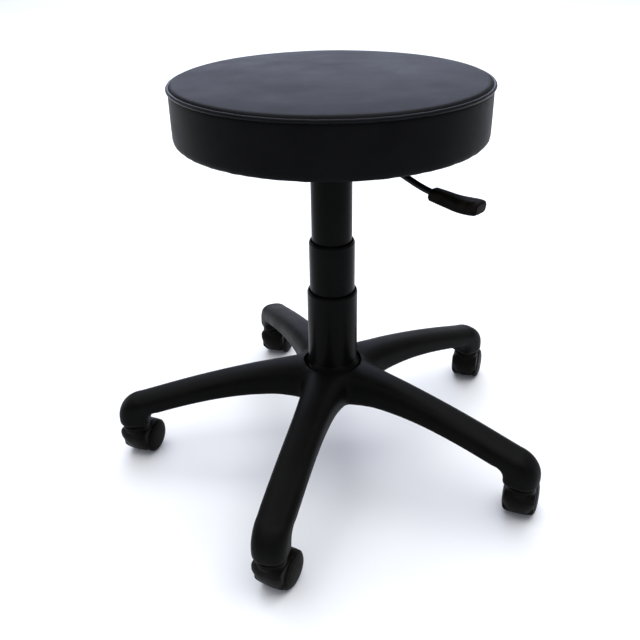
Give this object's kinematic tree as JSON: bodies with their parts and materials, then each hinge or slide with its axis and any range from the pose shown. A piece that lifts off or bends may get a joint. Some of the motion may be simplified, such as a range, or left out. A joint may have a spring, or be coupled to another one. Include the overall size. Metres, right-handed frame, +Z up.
{
  "type": "adjustable swivel stool",
  "caption": "Round padded stool that swivels and adjusts in height on a gas lift, with a release lever and a star base on twin-wheel casters.",
  "frame": {"origin": "on the floor, at the centre of the whole stool's bounding box seen from above; the gas lift's axis is 21.1 mm towards +X and 11.9 mm towards -Y of it", "axes": "+Z up along the gas lift, +X to the stool's right, +Y to its back, seen from the front"},
  "size_m": [0.5944, 0.6364, 0.5603],
  "materials": {
    "vinyl": "semi-matt soft PVC upholstery, fine leather grain",
    "foam": "open-cell cushion foam, hidden",
    "plywood": "birch plywood, sanded",
    "dust_cloth": "black spunbond cloth",
    "enamel": "black powder coat",
    "zinc": "bright zinc plate",
    "chrome": "ground and hard-chromed rod steel",
    "steel": "ground steel",
    "acetal": "moulded acetal",
    "cover_plastic": "moulded polypropylene, satin",
    "base_nylon": "glass-filled nylon, moulded with a fine spark texture",
    "caster_nylon": "moulded nylon, satin"
  },
  "bodies": {
    "base": {"star_base": "base_nylon", "hub_ring": "steel", "outer_tube": "enamel", "guide_bushing": "acetal", "lower_sleeve": "cover_plastic", "caster_stem_1": "zinc", "caster_stem_2": "zinc", "caster_stem_3": "zinc", "caster_stem_4": "zinc", "caster_stem_5": "zinc", "grip_ring_1": "steel", "grip_ring_2": "steel", "grip_ring_3": "steel", "grip_ring_4": "steel", "grip_ring_5": "steel"},
    "spindle": {"piston_rod": "chrome", "thrust_bearing": "steel", "retaining_clip": "steel"},
    "seat": {"seat_cover": "vinyl", "seat_piping": "vinyl", "seat_foam": "foam", "seat_board": "plywood", "dust_cover": "dust_cloth", "mounting_plate": "enamel", "taper_socket": "enamel", "gas_column": "chrome", "upper_sleeve": "cover_plastic", "seat_bolt_1": "zinc", "seat_bolt_2": "zinc", "seat_bolt_3": "zinc", "seat_bolt_4": "zinc", "tee_nut_1": "zinc", "tee_nut_2": "zinc", "tee_nut_3": "zinc", "tee_nut_4": "zinc"},
    "middle_cover": {"middle_sleeve": "cover_plastic"},
    "lever": {"lever_rod": "enamel", "lever_handle": "cover_plastic", "lever_bush": "acetal"},
    "button": {"release_button": "acetal"},
    "caster_1": {"caster_hood_1": "caster_nylon", "caster_axle_1": "steel"},
    "wheel_left_1": {"wheel_left_1": "caster_nylon"},
    "wheel_right_1": {"wheel_right_1": "caster_nylon"},
    "caster_2": {"caster_hood_2": "caster_nylon", "caster_axle_2": "steel"},
    "wheel_left_2": {"wheel_left_2": "caster_nylon"},
    "wheel_right_2": {"wheel_right_2": "caster_nylon"},
    "caster_3": {"caster_hood_3": "caster_nylon", "caster_axle_3": "steel"},
    "wheel_left_3": {"wheel_left_3": "caster_nylon"},
    "wheel_right_3": {"wheel_right_3": "caster_nylon"},
    "caster_4": {"caster_hood_4": "caster_nylon", "caster_axle_4": "steel"},
    "wheel_left_4": {"wheel_left_4": "caster_nylon"},
    "wheel_right_4": {"wheel_right_4": "caster_nylon"},
    "caster_5": {"caster_hood_5": "caster_nylon", "caster_axle_5": "steel"},
    "wheel_left_5": {"wheel_left_5": "caster_nylon"},
    "wheel_right_5": {"wheel_right_5": "caster_nylon"}
  },
  "joints": [
    {"name": "seat_swivel", "type": "hinge", "parent": "base", "child": "spindle", "pos_m": [0.0211, -0.01192, 0.12], "axis": [0, 0, 1], "continuous": true},
    {"name": "seat_height", "type": "slide", "parent": "spindle", "child": "seat", "axis": [0, 0, 1], "range_m": [-0.11, 0]},
    {"name": "cover_follow", "type": "slide", "parent": "base", "child": "middle_cover", "axis": [0, 0, 1], "range_m": [-0.056, 0.001]},
    {"name": "lever_lift", "type": "hinge", "parent": "seat", "child": "lever", "pos_m": [0.05328, -0.04192, 0.4695], "axis": [-0.682, -0.7314, 0], "range_deg": [0, 7], "stiffness_Nm_per_rad": 2, "springref_deg": -6.88},
    {"name": "button_press", "type": "slide", "parent": "seat", "child": "button", "axis": [0, 0, -1], "range_m": [0, 0.0056]},
    {"name": "caster_1_swivel", "type": "hinge", "parent": "base", "child": "caster_1", "pos_m": [-0.2754, -0.01192, 0.06], "axis": [0, 0, 1], "continuous": true},
    {"name": "wheel_left_1_roll", "type": "hinge", "parent": "caster_1", "child": "wheel_left_1", "pos_m": [-0.26797, 0.00557, 0.025], "axis": [-0.9205, 0.3907, 0], "continuous": true},
    {"name": "wheel_right_1_roll", "type": "hinge", "parent": "caster_1", "child": "wheel_right_1", "pos_m": [-0.26797, 0.00557, 0.025], "axis": [-0.9205, 0.3907, 0], "continuous": true},
    {"name": "caster_2_swivel", "type": "hinge", "parent": "base", "child": "caster_2", "pos_m": [-0.07052, -0.29391, 0.06], "axis": [0, 0, 1], "continuous": true},
    {"name": "wheel_left_2_roll", "type": "hinge", "parent": "caster_2", "child": "wheel_left_2", "pos_m": [-0.06102, -0.27745, 0.025], "axis": [-0.866, 0.5, 0], "continuous": true},
    {"name": "wheel_right_2_roll", "type": "hinge", "parent": "caster_2", "child": "wheel_right_2", "pos_m": [-0.06102, -0.27745, 0.025], "axis": [-0.866, 0.5, 0], "continuous": true},
    {"name": "caster_3_swivel", "type": "hinge", "parent": "base", "child": "caster_3", "pos_m": [0.26098, -0.18619, 0.06], "axis": [0, 0, 1], "continuous": true},
    {"name": "wheel_left_3_roll", "type": "hinge", "parent": "caster_3", "child": "wheel_left_3", "pos_m": [0.2684, -0.16871, 0.025], "axis": [-0.9205, 0.3907, 0], "continuous": true},
    {"name": "wheel_right_3_roll", "type": "hinge", "parent": "caster_3", "child": "wheel_right_3", "pos_m": [0.2684, -0.16871, 0.025], "axis": [-0.9205, 0.3907, 0], "continuous": true},
    {"name": "caster_4_swivel", "type": "hinge", "parent": "base", "child": "caster_4", "pos_m": [0.26098, 0.16236, 0.06], "axis": [0, 0, 1], "continuous": true},
    {"name": "wheel_left_4_roll", "type": "hinge", "parent": "caster_4", "child": "wheel_left_4", "pos_m": [0.2684, 0.17985, 0.025], "axis": [-0.9205, 0.3907, 0], "continuous": true},
    {"name": "wheel_right_4_roll", "type": "hinge", "parent": "caster_4", "child": "wheel_right_4", "pos_m": [0.2684, 0.17985, 0.025], "axis": [-0.9205, 0.3907, 0], "continuous": true},
    {"name": "caster_5_swivel", "type": "hinge", "parent": "base", "child": "caster_5", "pos_m": [-0.07052, 0.27007, 0.06], "axis": [0, 0, 1], "continuous": true},
    {"name": "wheel_left_5_roll", "type": "hinge", "parent": "caster_5", "child": "wheel_left_5", "pos_m": [-0.0631, 0.28756, 0.025], "axis": [-0.9205, 0.3907, 0], "continuous": true},
    {"name": "wheel_right_5_roll", "type": "hinge", "parent": "caster_5", "child": "wheel_right_5", "pos_m": [-0.0631, 0.28756, 0.025], "axis": [-0.9205, 0.3907, 0], "continuous": true}
  ],
  "couplings": [
    {"joint": "cover_follow", "follows": "seat_height", "ratio": 0.5},
    {"joint": "button_press", "follows": "lever_lift", "m_per_rad": 0.0445}
  ]
}
